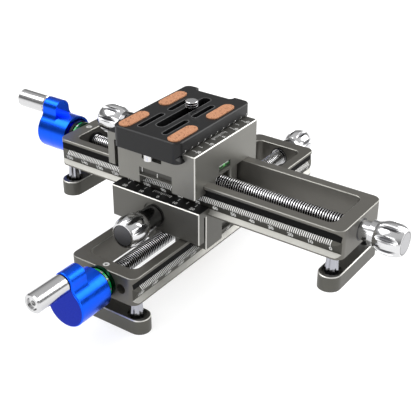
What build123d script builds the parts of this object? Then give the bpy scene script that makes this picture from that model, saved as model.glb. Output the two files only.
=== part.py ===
from build123d import *
import os
from math import cos, pi, sin

# Macro focusing rail: two equal rail units, the upper one clamped crosswise on the lower one's
# carriage, and a quick-release plate clamped on the upper carriage. Millimetres, +Z up.
# Every piece of a rail unit is drawn in the unit's own frame: X along the rail from the crank end
# to the far end, Y across it, Z up from the rail's bottom face, origin at the rail's middle.
# A piece of a carriage is drawn about the carriage's middle and then put where the carriage stands.

os.makedirs("parts", exist_ok=True)

# ---- Driving dimensions -------------------------------------------------------------------------

# Clearances
slide_gap = 0.05            # between a sliding face and what it slides on
turn_gap = 0.05             # radial, between a turning shaft and its bore
skirt_gap = 0.15            # between the rail's side and the carriage's skirt
guide_gap = 0.2             # between a guide ridge and its groove in the rail
seat_gap = 0.02             # radial, between two pieces that are fixed together
loose_gap = 0.1             # round pieces that only have to clear each other

# Rail frame
rail_length = 161.0
rail_width = 38.0
rail_height = 14.4
rail_corner_radius = 4.0
end_wall = 7.1              # solid ends of the long window
side_wall = 5.2
window_corner_radius = 3.5
flange_edge = 0.7           # upright edge of the dovetail flange
flange_bevel = 1.84         # the flange's 45 degree bevel, across and up
number_band_top = 7.0       # top of the band that carries the scale's numbers
tick_bevel = 1.4            # 45 degree bevel that carries the scale's ticks
groove_lip = 1.4            # land between the guide groove and the top face
groove_depth = 1.8
groove_slope = 0.4          # how far the groove's lower wall leans in
edge_break = 0.3

# Lead screw and its end fittings
screw_height = 7.2          # screw axis above the rail's bottom face
thread_radius = 3.9
shank_radius = 3.95
shank_end_depth = 12.8      # how far the shank goes into the crank hub
spigot_radius = 3.0         # the screw's far end, inside the end knob
spigot_length = 14.0
collar_radius = 5.0
collar_length = 1.2
bush_wall = 0.65
set_screw_radius = 1.6
set_screw_length = 3.05
set_screw_hex = 1.5
set_screw_from_end = 3.5
accessory_hole_radius = 2.5
accessory_hole_depth = 5.5
accessory_hole_offset = 11.0

# Thrust bearing at the crank end
race_radius = 8.0
race_thickness = 1.5
race_spacing = 2.0          # between the two race washers
ball_radius = 1.19
ball_circle_radius = 5.9
ball_count = 10
raceway_gap = 0.03
cage_thickness = 1.2
cage_inner_radius = 4.4
cage_outer_radius = 7.4

# Crank
hub_radius = 10.2
hub_back_gap = 0.7          # how far the hub's hollow rim stands behind the turning race
hub_length = 18.7
hub_step = 0.05             # the round part behind the lobe is turned this much smaller
hub_rim_wall = 1.2
hub_hollow_depth = 4.8
hub_boss_radius = 6.0
hub_edge_radius = 0.7
crank_throw = 12.3          # from the screw axis to the handle's axis
lobe_radius = 5.0
lobe_thickness = 9.6
lobe_blend_radius = 6.0
hub_screw_radius = 1.5
hub_screw_length = 5.0
hub_screw_hex = 1.5
hub_screw_from_front = 11.8
handle_radius = 4.7
handle_length = 18.3
handle_gap = 0.3            # between the handle and the hub's front face
handle_chamfer = 0.6
handle_recess_depth = 3.0
handle_screw_radius = 2.0
handle_screw_grip = 7.0     # how far the handle's screw goes into the lobe
handle_head_radius = 2.9
handle_head_height = 2.0
handle_hex = 2.5

# Fluted knobs: the end knob and the clamp knob share one head
knob_collar_radius = 5.9
knob_collar_length = 2.5
knob_barrel_length = 13.0
knob_barrel_radius = 7.8
knob_disc_radius = 6.1
knob_flute_count = 8
knob_flute_radius = 1.7
knob_flute_circle = 8.3
end_neck_radius = 4.6
end_neck_length = 5.0
clamp_neck_radius = 5.4
clamp_neck_length = 8.1

# Feet: an oblong bar on two ribbed posts under each end of a rail
foot_bar_length = 44.0
foot_bar_width = 10.8
foot_bar_height = 7.6
foot_bar_from_middle = 75.0
foot_post_spacing = 30.4
foot_post_visible = 7.8     # from the rail's bottom face to the bar's top
foot_post_top_radius = 2.6
foot_post_bottom_radius = 3.35
foot_post_ribs = 9
foot_post_rib_depth = 0.45
foot_seat_radius = 4.6
foot_seat_depth = 1.5
foot_screw_radius = 1.5
foot_screw_grip = 6.0
foot_head_radius = 2.8
foot_head_height = 2.2
foot_head_inset = 0.4
foot_edge_break = 0.4

# Carriage
roof_thickness = 13.5       # from the rail's top to the clamp's floor
skirt_wall = 6.75
floor_margin = 1.5          # clamp floor beyond the clamped flange, on the moving jaw's side
fixed_jaw_wall = 5.5        # solid behind the fixed jaw
jaw_rise = 3.7              # the jaws' top above the clamp's floor
lip_reach = 1.05            # how far a jaw's lip covers the flange
ridge_height = 1.3          # straight foot of the guide ridge
leg_length = 41.4
leg_gap = 1.3               # between a leg and the window's side
leg_corner_radius = 1.5
leg_bottom = 3.0
nut_length = 24.0
nut_width = 10.0
nut_bottom = 2.2
nut_leg_gap = 0.5
nut_screw_spacing = 16.0
nut_screw_radius = 1.5
nut_screw_head_radius = 2.8
nut_screw_head_height = 3.0
nut_screw_recess = 3.2
nut_screw_tip_gap = 0.4
pocket_length = 19.0        # index pocket and the scale window under it
pocket_height = 3.9
pocket_depth = 1.5
pocket_floor_gap = 0.1
end_pocket_width = 11.4     # room for the plate's stop screws
end_pocket_length = 8.0
end_pocket_depth = 4.95
vial_radius = 1.5
vial_length = 8.6
vial_offset = -1.7
vial_height = 17.85
vial_slot_depth = 3.5
vial_inset = 0.4
carriage_edge_break = 0.4

# Moving jaw and clamp screw
jaw_gap = 1.7               # between the closed jaw and the carriage
jaw_thickness = 4.2
jaw_bottom = 14.9
jaw_floor_gap = 0.1
knob_seat_radius = 6.6
knob_seat_depth = 0.6
clamp_axis_drop = 4.75      # clamp screw's axis below the clamp's floor
bolt_radius = 2.5
bolt_reach = 10.5           # how far the clamp screw goes into the carriage
bolt_bore_spare = 1.0
bolt_knob_grip = 12.0
ring_radius = 4.2
ring_thickness = 0.8
guide_pin_radius = 1.5
guide_pin_spacing = 34.0
guide_pin_height = 20.0
guide_pin_grip = 6.5
guide_pin_tip_wall = 1.0
guide_pin_end_gap = 0.4

# Quick-release plate
plate_length = 59.0
plate_height = 10.5
plate_slab = 5.5
plate_corner_radius = 3.5
plate_offset = -1.2         # from the upper rail's centre line
plate_edge_break = 0.4
notch_left = -12.0
notch_right = 9.5
notch_depth = 2.9
notch_corner_radius = 2.0
side_slot_offset = 7.0
side_slot_width = 2.8
side_slot_depth = 3.0
near_slot_margin = 5.2      # from the plate's near end to the near pair of slots
near_slot_to = -6.0
far_slot_from = -1.5
far_slot_margin = 14.5
screw_slot_near_margin = 10.5
screw_slot_far_margin = 8.5
screw_slot_width = 5.0
screw_slot_end_wall = 0.4
cork_offset = 14.0
cork_near_margin = 10.4     # from the plate's near end to the near pads' middles
cork_far_margin = 18.8
cork_length = 18.8
cork_width = 6.3
cork_sunk = 0.5
cork_proud = 0.5
stop_screw_margin = 2.7     # from each end of the plate
stop_head_radius = 2.2
stop_head_length = 3.4
stop_shank_radius = 1.5
stop_shank_length = 5.0

# Camera screw, 1/4 inch
camera_thread_radius = 3.175
camera_thread_length = 3.4
camera_thread_start = 0.3
camera_shank_radius = 2.3
camera_head_radius = 4.8
camera_head_height = 1.8
camera_coin_slot = 1.2
camera_screw_place = 7.0
washer_radius = 5.5
washer_thickness = 0.8

# Where the pieces stand in the photograph
lower_carriage_place = -12.9
upper_carriage_place = -13.3
upper_rail_place = 14.1

# ---- Sizes that follow from them ----------------------------------------------------------------

half_length = rail_length / 2
half_width = rail_width / 2
window_end = half_length - end_wall
window_side = half_width - side_wall
neck = half_width - flange_bevel
groove_root = rail_height - groove_lip - groove_depth
bush_inner_radius = end_neck_radius + turn_gap
bush_outer_radius = bush_inner_radius + bush_wall

race_far = half_length + race_thickness
race_near = race_far + race_spacing
bearing_end = race_near + race_thickness
bearing_middle = race_far + race_spacing / 2
hub_back = bearing_end + hub_back_gap
hub_front = hub_back + hub_length
handle_start = hub_front + handle_gap
handle_end = handle_start + handle_length
handle_height = screw_height + crank_throw

roof_bottom = rail_height + slide_gap
clamp_floor = roof_bottom + roof_thickness
clamp_axis_height = clamp_floor - clamp_axis_drop
stack_height = clamp_floor + slide_gap
jaw_top = clamp_floor + jaw_rise
carriage_half = half_width + (floor_margin + fixed_jaw_wall) / 2
carriage_side = half_width + skirt_gap + skirt_wall
clamp_middle = (floor_margin - fixed_jaw_wall) / 2
skirt_bottom = groove_root - ridge_height
jaw_outer = carriage_half + jaw_gap + jaw_thickness
nut_screw_tip = screw_height + thread_radius + loose_gap + nut_screw_tip_gap

foot_bar_top = -foot_post_visible
foot_bar_bottom = foot_bar_top - foot_bar_height
plate_bottom = stack_height
plate_top = plate_bottom + plate_height
plate_end = plate_length / 2
near_slot_from = -plate_end + near_slot_margin
far_slot_to = plate_end - far_slot_margin
screw_slot_from = -plate_end + screw_slot_near_margin
screw_slot_to = plate_end - screw_slot_far_margin
recess_width = 2 * (washer_radius + loose_gap) + 1.0
recess_top = plate_bottom + washer_thickness + camera_head_height + 0.35


# ---- Drawing helpers ----------------------------------------------------------------------------

def block(x, y, z):
    """A box between three pairs of limits."""
    size = Box(x[1] - x[0], y[1] - y[0], z[1] - z[0])
    return Pos((x[0] + x[1]) / 2, (y[0] + y[1]) / 2, (z[0] + z[1]) / 2) * size


def rod(radius, start, end, y=0.0, z=screw_height):
    """A cylinder along X."""
    return Pos((start + end) / 2, y, z) * Rot(0, 90, 0) * Cylinder(radius, abs(end - start))


def tube(outer, inner, start, end, y=0.0, z=screw_height):
    """A ring along X."""
    return rod(outer, start, end, y, z) - rod(inner, start, end, y, z)


def post(radius, bottom, top, x=0.0, y=0.0):
    """An upright cylinder."""
    return Pos(x, y, (bottom + top) / 2) * Cylinder(radius, top - bottom)


def cross_rod(radius, start, end, x, z):
    """A cylinder along Y."""
    return Pos(x, (start + end) / 2, z) * Rot(90, 0, 0) * Cylinder(radius, end - start)


def hexagon(across_flats):
    """A hexagon by the size of its key."""
    return RegularPolygon(across_flats / 2, 6, major_radius=False)


def slot(length, width, bottom, top, x, y):
    """An upright plug with round ends, its length along Y."""
    outline = Pos(x, y, bottom) * Rot(0, 0, 90) * SlotOverall(length, width)
    return extrude(outline, top - bottom)


def along_x(points, half):
    """An outline of (y, z) points, drawn out along X to both sides."""
    outline = Plane.YZ * make_face(Polyline(*points, close=True))
    return extrude(outline, half, both=True)


def along_y(points, half):
    """An outline of (x, z) points, drawn out along Y to both sides."""
    outline = Plane.XZ * make_face(Polyline(*points, close=True))
    return extrude(outline, half, both=True)


def mirrored(points):
    """Points of a right-hand side, followed by the same side mirrored, top to bottom."""
    return points + [(-across, up) for across, up in reversed(points)]


def flange(bottom):
    """The dovetail foot that the rails and the plate share: its right side from the bottom up."""
    return [
        (half_width, bottom),
        (half_width, bottom + flange_edge),
        (neck, bottom + flange_edge + flange_bevel),
    ]


# ---- Rail frame ---------------------------------------------------------------------------------

def rail_frame():
    """The bar: dovetail sides with scale band and guide groove, long window, end bores."""
    side = flange(0.0) + [
        (half_width, number_band_top),
        (half_width - tick_bevel, number_band_top + tick_bevel),
        (half_width - groove_depth, groove_root),
        (half_width, rail_height - groove_lip),
        (half_width, rail_height),
    ]
    plan = extrude(RectangleRounded(rail_length, rail_width, rail_corner_radius), rail_height)
    window = extrude(RectangleRounded(2 * window_end, 2 * window_side, window_corner_radius), rail_height)
    frame = plan & along_x(mirrored(side), half_length)
    frame -= window
    frame = chamfer(frame.faces().sort_by(Axis.Z)[-1].edges(), edge_break)
    frame -= rod(shank_radius + turn_gap, -half_length, -window_end)
    frame -= rod(bush_outer_radius, window_end, half_length)
    hole_start = -half_length + accessory_hole_depth
    frame -= rod(accessory_hole_radius, -half_length, hole_start, -accessory_hole_offset)
    frame -= post(set_screw_radius + turn_gap, screw_height, rail_height, -half_length + set_screw_from_end)
    for x, y in foot_places():
        frame -= post(foot_screw_radius, 0.0, foot_screw_grip, x, y)
    return frame


def end_bush():
    """The dark bush in the far end wall, which carries the end knob's neck."""
    return tube(bush_outer_radius, bush_inner_radius, window_end, half_length)


def set_screw():
    """The friction screw over the screw's journal."""
    top = rail_height - loose_gap
    x = -half_length + set_screw_from_end
    screw = post(set_screw_radius, top - set_screw_length, top, x)
    return screw - Pos(x, 0, top - set_screw_hex) * extrude(hexagon(set_screw_hex), set_screw_hex)


# ---- Feet ---------------------------------------------------------------------------------------

def foot_places():
    """The four posts' axes under a rail."""
    half = foot_post_spacing / 2
    return [(x, y) for x in (-foot_bar_from_middle, foot_bar_from_middle) for y in (-half, half)]


def foot_bars():
    """The two oblong bars, with a round seat for each post and a recess for each screw head."""
    bars = []
    for x in (-foot_bar_from_middle, foot_bar_from_middle):
        bar = slot(foot_bar_length, foot_bar_width, foot_bar_bottom, foot_bar_top, x, 0)
        bar = chamfer(bar.edges().filter_by_position(Axis.Z, foot_bar_top, foot_bar_top), foot_edge_break)
        for place, y in foot_places():
            if place == x:
                bar -= post(foot_seat_radius, foot_bar_top - foot_seat_depth, foot_bar_top, x, y)
                bar -= post(foot_screw_radius + turn_gap, foot_bar_bottom, foot_bar_top, x, y)
                head_top = foot_bar_bottom + foot_head_inset + foot_head_height
                bar -= post(foot_head_radius + loose_gap, foot_bar_bottom, head_top, x, y)
        bars.append(bar)
    return bars


def foot_posts():
    """The ribbed posts, wider at the foot, between the rail and the bars' seats."""
    posts = []
    bottom = foot_bar_top - foot_seat_depth
    for x, y in foot_places():
        lower = Pos(x, y, bottom) * rib_outline(foot_post_bottom_radius)
        upper = Pos(x, y, 0) * rib_outline(foot_post_top_radius)
        post_body = loft([lower, upper], ruled=True)
        posts.append(post_body - post(foot_screw_radius + turn_gap, bottom, 0, x, y))
    return posts


def rib_outline(radius):
    """A star of ridges and valleys."""
    points = []
    for i in range(2 * foot_post_ribs):
        angle = pi * i / foot_post_ribs
        reach = radius - foot_post_rib_depth * (i % 2)
        points.append((reach * cos(angle), reach * sin(angle)))
    return make_face(Polyline(*points, close=True))


def foot_screws():
    """The screws that hold bars and posts to the rail, from below."""
    screws = []
    head_bottom = foot_bar_bottom + foot_head_inset
    for x, y in foot_places():
        screw = post(foot_head_radius, head_bottom, head_bottom + foot_head_height, x, y)
        screw += post(foot_screw_radius, head_bottom + foot_head_height, foot_screw_grip, x, y)
        screw -= Pos(x, y, head_bottom) * extrude(hexagon(2.0), 1.2)
        screws.append(screw)
    return screws


# ---- Thrust bearing -----------------------------------------------------------------------------

def raceway():
    """The ring that the balls sweep, with its gap."""
    ring = Torus(ball_circle_radius, ball_radius + raceway_gap)
    return Pos(-bearing_middle, 0, screw_height) * Rot(0, 90, 0) * ring


def race_fixed():
    """The race washer on the rail's end face."""
    return tube(race_radius, shank_radius + loose_gap, -race_far, -half_length) - raceway()


def race_turning():
    """The race washer on the screw's shank, in front of the crank hub."""
    return tube(race_radius, shank_radius + seat_gap, -bearing_end, -race_near) - raceway()


def ball_places():
    """The balls' middles."""
    for i in range(ball_count):
        angle = 2 * pi * i / ball_count
        y = ball_circle_radius * cos(angle)
        z = screw_height + ball_circle_radius * sin(angle)
        yield y, z


def bearing_balls():
    """The steel balls between the races."""
    return [Pos(-bearing_middle, y, z) * Sphere(ball_radius) for y, z in ball_places()]


def bearing_cage():
    """The green ring that spaces the balls."""
    half = cage_thickness / 2
    cage = tube(cage_outer_radius, cage_inner_radius, -bearing_middle - half, -bearing_middle + half)
    for y, z in ball_places():
        cage -= rod(ball_radius + turn_gap, -bearing_middle - half, -bearing_middle + half, y, z)
    return cage


# ---- Lead screw, crank and end knob -------------------------------------------------------------

def lead_screw():
    """Shank through the crank end, thread through the window, spigot into the end knob."""
    collar_end = -window_end + loose_gap + collar_length
    screw = rod(shank_radius, -hub_back - shank_end_depth, collar_end)
    screw += rod(thread_radius, collar_end, window_end)
    screw += rod(spigot_radius, window_end, window_end + spigot_length)
    return screw


def screw_collar():
    """The collar that holds the screw against the inside of the crank end wall."""
    start = -window_end + loose_gap
    return tube(collar_radius, shank_radius + seat_gap, start, start + collar_length)


def crank_hub():
    """Round hub, hollow at the back, with a teardrop lobe on its front half."""
    teardrop = Circle(hub_radius) + Pos(0, crank_throw) * Circle(lobe_radius)
    teardrop = fillet(teardrop.vertices(), lobe_blend_radius)
    front = Pos(-hub_front, 0, screw_height) * (Plane.YZ * teardrop)
    back = Pos(-hub_front + lobe_thickness, 0, screw_height) * (Plane.YZ * Circle(hub_radius - hub_step))
    hub = extrude(front, lobe_thickness) + extrude(back, hub_length - lobe_thickness)
    hub = fillet(hub.faces().sort_by(Axis.X)[0].edges(), hub_edge_radius)
    floor = -hub_back - hub_hollow_depth
    hub -= tube(hub_radius - hub_rim_wall, hub_boss_radius, floor, -hub_back)
    hub += rod(hub_boss_radius, floor, -bearing_end)
    hub -= rod(shank_radius + seat_gap, -hub_back - shank_end_depth - loose_gap, -bearing_end)
    hub -= rod(handle_screw_radius, -hub_front, -hub_front + handle_screw_grip, 0, handle_height)
    hub -= cross_rod(hub_screw_radius + seat_gap, 0, hub_radius + 1, hub_screw_place(), screw_height)
    return hub


def hub_screw_place():
    """Where along the rail the hub's set screw stands."""
    return -hub_front + hub_screw_from_front


def hub_set_screw():
    """The set screw that pins the hub to the shank, from the side away from the scale."""
    tip = shank_radius + seat_gap
    end = tip + hub_screw_length
    screw = cross_rod(hub_screw_radius, tip, end, hub_screw_place(), screw_height)
    key = extrude(Plane.XZ * hexagon(hub_screw_hex), hub_screw_hex)
    return screw - Pos(hub_screw_place(), end, screw_height) * key


def handle_recess():
    """Where the floor of the handle's end recess lies."""
    return -handle_end + handle_recess_depth


def crank_handle():
    """The silver sleeve that spins on its screw."""
    sleeve = rod(handle_radius, -handle_end, -handle_start, 0, handle_height)
    sleeve = chamfer(sleeve.edges().filter_by(GeomType.CIRCLE), handle_chamfer)
    sleeve -= rod(handle_screw_radius + turn_gap, -handle_end, -handle_start, 0, handle_height)
    sleeve -= rod(handle_head_radius + loose_gap, -handle_end, handle_recess(), 0, handle_height)
    return sleeve


def handle_screw():
    """The handle's axle: a cap screw into the lobe."""
    head_start = handle_recess() - loose_gap
    screw = rod(handle_head_radius, head_start - handle_head_height, head_start, 0, handle_height)
    screw += rod(handle_screw_radius, head_start, -hub_front + handle_screw_grip, 0, handle_height)
    key = Plane.YZ * hexagon(handle_hex)
    screw -= Pos(head_start - handle_head_height, 0, handle_height) * extrude(key, 1.4)
    return screw


def knob_head(start):
    """Collar and fluted barrel of a knob, about the X axis, from start towards +X."""
    barrel_start = start + knob_collar_length
    barrel_middle = barrel_start + knob_barrel_length / 2
    barrel_end = barrel_start + knob_barrel_length
    outline = [
        Line((start, 0), (start, knob_collar_radius)),
        Line((start, knob_collar_radius), (barrel_start, knob_collar_radius)),
        ThreePointArc(
            (barrel_start, knob_collar_radius),
            (barrel_middle, knob_barrel_radius),
            (barrel_end, knob_disc_radius),
        ),
        Line((barrel_end, knob_disc_radius), (barrel_end, 0)),
        Line((barrel_end, 0), (start, 0)),
    ]
    head = revolve(make_face(outline), Axis.X)
    for i in range(knob_flute_count):
        angle = 2 * pi * (i + 0.5) / knob_flute_count
        y = knob_flute_circle * cos(angle)
        z = knob_flute_circle * sin(angle)
        head -= rod(knob_flute_radius, barrel_start, barrel_end + 1, y, z)
    return head


def end_knob():
    """The silver knob on the screw's far end."""
    neck_end = half_length + end_neck_length
    knob = Pos(0, 0, screw_height) * knob_head(neck_end)
    knob += rod(end_neck_radius, window_end, neck_end)
    knob -= rod(spigot_radius + seat_gap, window_end, window_end + spigot_length + loose_gap)
    return knob


# ---- Carriage -----------------------------------------------------------------------------------

def carriage_body():
    """Roof, skirts with guide ridges, fixed jaw, and two legs down into the rail's window."""
    body = carriage_block()
    groove_tip = half_width - groove_depth + guide_gap
    side = [
        (groove_tip + groove_slope / 2, skirt_bottom - 1),
        (groove_tip + groove_slope / 2, skirt_bottom),
        (groove_tip, groove_root),
        (half_width + skirt_gap, groove_root + groove_depth + skirt_gap - guide_gap),
        (half_width + skirt_gap, roof_bottom),
    ]
    body -= along_x(mirrored(side), carriage_half)
    for sign in (-1, 1):
        body += carriage_leg(sign)
    for x in nut_screw_places():
        body -= post(nut_screw_radius + turn_gap, roof_bottom, clamp_floor, x)
        body -= post(nut_screw_head_radius + loose_gap, clamp_floor - nut_screw_recess, clamp_floor, x)
    body -= index_window()
    body -= end_pockets()
    body -= vial_slot()
    bolt_end = -carriage_half + bolt_reach + bolt_bore_spare
    body -= rod(bolt_radius + turn_gap, -carriage_half, bolt_end, 0, clamp_axis_height)
    for y in (-guide_pin_spacing / 2, guide_pin_spacing / 2):
        body -= rod(guide_pin_radius, -carriage_half, -carriage_half + guide_pin_grip, y, guide_pin_height)
    return body


def carriage_block():
    """The carriage's outer block with its clamp floor and fixed jaw."""
    wall = clamp_middle + half_width + slide_gap
    points = [
        (-carriage_half, skirt_bottom),
        (carriage_half, skirt_bottom),
        (carriage_half, jaw_top),
        (wall - lip_reach, jaw_top),
        (wall - lip_reach, stack_height + flange_edge + lip_reach),
        (wall, stack_height + flange_edge),
        (wall, clamp_floor),
        (-carriage_half, clamp_floor),
    ]
    block_body = along_y(points, carriage_side)
    uprights = block_body.edges().filter_by(Axis.Z)
    corners = uprights.filter_by(lambda edge: abs(edge.center().X) > carriage_half - 0.01)
    ledge = block_body.edges().filter_by_position(Axis.Z, jaw_top, jaw_top)
    outer = ledge.filter_by(lambda edge: edge.center().X > wall - lip_reach + 0.01)
    return chamfer(corners + outer, carriage_edge_break)


def carriage_leg(side):
    """One leg in the rail's window, beside the drive nut."""
    inner = nut_width / 2 + nut_leg_gap
    outer = window_side - leg_gap
    outline = Pos(0, side * (inner + outer) / 2, leg_bottom)
    outline *= RectangleRounded(leg_length, outer - inner, leg_corner_radius)
    return extrude(outline, roof_bottom - leg_bottom)


def index_window():
    """The index pocket in the near skirt and the window under it that shows the rail's scale."""
    half = pocket_length / 2
    pocket_bottom = rail_height - pocket_floor_gap
    face = -carriage_side
    pocket = block((-half, half), (face, face + pocket_depth), (pocket_bottom, pocket_bottom + pocket_height))
    inner = -window_side - side_wall + groove_depth
    window = block((-half, half), (face, inner), (skirt_bottom, rail_height - groove_lip / 2))
    return pocket + window


def end_pockets():
    """Pockets in the clamp floor's two ends, where the plate's stop screws run."""
    half = end_pocket_width / 2
    limits_x = (clamp_middle - half, clamp_middle + half)
    limits_z = (clamp_floor - end_pocket_depth, clamp_floor)
    near = block(limits_x, (-carriage_side, -carriage_side + end_pocket_length), limits_z)
    far = block(limits_x, (carriage_side - end_pocket_length, carriage_side), limits_z)
    return near + far


def vial_slot():
    """The slot of the bubble level in the end face."""
    half = vial_length / 2 + 0.3
    limits_y = (vial_offset - half, vial_offset + half)
    limits_z = (vial_height - vial_radius - 0.15, vial_height + vial_radius + 0.15)
    return block((carriage_half - vial_slot_depth, carriage_half), limits_y, limits_z)


def bubble_vial():
    """The bubble level's tube."""
    x = carriage_half - vial_inset - vial_radius
    half = vial_length / 2
    return cross_rod(vial_radius, vial_offset - half, vial_offset + half, x, vial_height)


def nut_screw_places():
    """Where the nut's two screws stand along the rail."""
    return (-nut_screw_spacing / 2, nut_screw_spacing / 2)


def drive_nut():
    """The nut on the lead screw, screwed up against the carriage's roof between the legs."""
    half = nut_length / 2
    nut = block((-half, half), (-nut_width / 2, nut_width / 2), (nut_bottom, roof_bottom))
    nut -= rod(thread_radius + loose_gap, -half, half)
    for x in nut_screw_places():
        nut -= post(nut_screw_radius, nut_screw_tip, roof_bottom, x)
    return nut


def nut_screws():
    """The two cap screws that hold the nut, from the clamp's floor."""
    screws = []
    head_bottom = clamp_floor - nut_screw_recess
    for x in nut_screw_places():
        screw = post(nut_screw_head_radius, head_bottom, head_bottom + nut_screw_head_height, x)
        screw += post(nut_screw_radius, nut_screw_tip, head_bottom, x)
        screw -= Pos(x, 0, head_bottom + 1.5) * extrude(hexagon(2.5), nut_screw_head_height)
        screws.append(screw)
    return screws


def guide_pins():
    """The two pins that keep the moving jaw square."""
    tip = -jaw_outer + guide_pin_tip_wall
    inner = -carriage_half + guide_pin_grip
    places = (-guide_pin_spacing / 2, guide_pin_spacing / 2)
    return [rod(guide_pin_radius, tip, inner, y, guide_pin_height) for y in places]


# ---- Clamp --------------------------------------------------------------------------------------

def moving_jaw():
    """The jaw that the clamp knob pulls against the flange."""
    wall = clamp_middle - half_width - slide_gap
    points = [
        (-jaw_outer, jaw_bottom),
        (-jaw_outer + jaw_thickness, jaw_bottom),
        (-jaw_outer + jaw_thickness, clamp_floor + jaw_floor_gap),
        (wall, clamp_floor + jaw_floor_gap),
        (wall, stack_height + flange_edge),
        (wall + lip_reach, stack_height + flange_edge + lip_reach),
        (wall + lip_reach, jaw_top),
        (-jaw_outer, jaw_top),
    ]
    jaw = along_y(points, carriage_side)
    outer = jaw.edges().filter_by(lambda edge: edge.center().X < -jaw_outer + 0.01)
    jaw = chamfer(outer, carriage_edge_break)
    jaw -= rod(knob_seat_radius, -jaw_outer, -jaw_outer + knob_seat_depth, 0, clamp_axis_height)
    jaw -= rod(bolt_radius + turn_gap, -jaw_outer, -carriage_half, 0, clamp_axis_height)
    hole_end = -jaw_outer + guide_pin_tip_wall - guide_pin_end_gap
    for y in (-guide_pin_spacing / 2, guide_pin_spacing / 2):
        jaw -= rod(guide_pin_radius + turn_gap, hole_end, -carriage_half, y, guide_pin_height)
    return jaw


def clamp_knob():
    """The fluted knob that closes the jaw."""
    seat = -jaw_outer + knob_seat_depth - slide_gap
    neck_end = -jaw_outer - clamp_neck_length
    knob = Pos(neck_end, 0, clamp_axis_height) * mirror(knob_head(0.0), Plane.YZ)
    knob += rod(clamp_neck_radius, neck_end, seat, 0, clamp_axis_height)
    knob -= rod(bolt_radius, seat - bolt_knob_grip, seat, 0, clamp_axis_height)
    return knob


def clamp_bolt():
    """The clamp knob's screw, through the jaw into the carriage."""
    seat = -jaw_outer + knob_seat_depth - slide_gap
    return rod(bolt_radius, seat - bolt_knob_grip, -carriage_half + bolt_reach, 0, clamp_axis_height)


def retaining_ring():
    """The ring on the clamp screw that pulls the jaw open with the knob."""
    start = -jaw_outer + jaw_thickness + slide_gap
    end = start + ring_thickness
    return tube(ring_radius, bolt_radius + seat_gap, start, end, 0, clamp_axis_height)


# ---- Quick-release plate, drawn about its own middle, at its height in the upper unit -----------

def qr_plate():
    """Dovetail plate with a notched rear edge, weight slots and the camera screw's slot."""
    side = flange(plate_bottom) + [
        (half_width, plate_top - plate_slab),
        (half_width, plate_top),
    ]
    outline = Pos(0, 0, plate_bottom) * RectangleRounded(rail_width, plate_length, plate_corner_radius)
    plate = extrude(outline, plate_height) & along_y(mirrored(side), plate_end)
    plate -= rear_notch()
    plate = chamfer(plate.faces().sort_by(Axis.Z)[-1].edges(), plate_edge_break)
    for sign in (-1, 1):
        for start, end in ((near_slot_from, near_slot_to), (far_slot_from, far_slot_to)):
            x = sign * side_slot_offset
            middle = (start + end) / 2
            floor = plate_top - side_slot_depth
            plate -= slot(end - start, side_slot_width, floor, plate_top, x, middle)
    plate -= screw_slot()
    for x, y in cork_places():
        plate -= slot(cork_length, cork_width, plate_top - cork_sunk, plate_top, x, y)
    for y in stop_screw_places():
        plate -= post(stop_shank_radius, plate_bottom, plate_bottom + stop_shank_length, 0, y)
    return plate


def rear_notch():
    """The notch between the two ears of the rear edge."""
    width = notch_right - notch_left
    depth = 2 * notch_depth
    outline = RectangleRounded(width, depth, notch_corner_radius)
    outline = Pos((notch_left + notch_right) / 2, plate_end, plate_bottom) * outline
    return extrude(outline, plate_height)


def screw_slot():
    """The camera screw's slot, with a wide recess below for its head and washer."""
    length = screw_slot_to - screw_slot_from
    middle = (screw_slot_from + screw_slot_to) / 2
    upper = slot(length, screw_slot_width, plate_bottom, plate_top, 0, middle)
    spare = recess_width - screw_slot_width - screw_slot_end_wall
    lower = slot(length + spare, recess_width, plate_bottom, recess_top, 0, middle)
    return upper + lower


def cork_places():
    """The middles of the four pads."""
    places_y = (-plate_end + cork_near_margin, plate_end - cork_far_margin)
    return [(x, y) for x in (-cork_offset, cork_offset) for y in places_y]


def cork_pads():
    """The four oblong cork pads, let into the plate's top."""
    bottom = plate_top - cork_sunk
    top = plate_top + cork_proud
    length = cork_length - 2 * seat_gap
    width = cork_width - 2 * seat_gap
    return [slot(length, width, bottom, top, x, y) for x, y in cork_places()]


def stop_screw_places():
    """Where the stop screws stand along the plate."""
    return (-plate_end + stop_screw_margin, plate_end - stop_screw_margin)


def stop_screws():
    """The two screws under the plate's ends, which keep it from sliding out of an open clamp."""
    screws = []
    for y in stop_screw_places():
        screw = post(stop_head_radius, plate_bottom - stop_head_length, plate_bottom, 0, y)
        screw += post(stop_shank_radius, plate_bottom, plate_bottom + stop_shank_length, 0, y)
        screw -= Pos(0, y, plate_bottom - stop_head_length) * extrude(hexagon(2.0), 1.5)
        screws.append(screw)
    return screws


def camera_washer():
    """The washer between the camera screw's head and the plate."""
    top = recess_top - slide_gap
    washer = post(washer_radius, top - washer_thickness, top, 0, camera_screw_place)
    return washer - post(camera_shank_radius + turn_gap, top - washer_thickness, top, 0, camera_screw_place)


def camera_screw():
    """The camera screw: slotted head, thin shank through the slot, thread above the plate."""
    y = camera_screw_place
    head_top = recess_top - 2 * slide_gap - washer_thickness
    head_bottom = head_top - camera_head_height
    thread_bottom = plate_top + camera_thread_start
    screw = post(camera_head_radius, head_bottom, head_top, 0, y)
    screw += post(camera_shank_radius, head_top, thread_bottom, 0, y)
    screw += post(camera_thread_radius, thread_bottom, thread_bottom + camera_thread_length, 0, y)
    half = camera_coin_slot / 2
    reach = camera_head_radius + 1
    screw -= block((-half, half), (y - reach, y + reach), (head_bottom, head_bottom + 0.9))
    return screw


# ---- Placing and writing the pieces -------------------------------------------------------------

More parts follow.
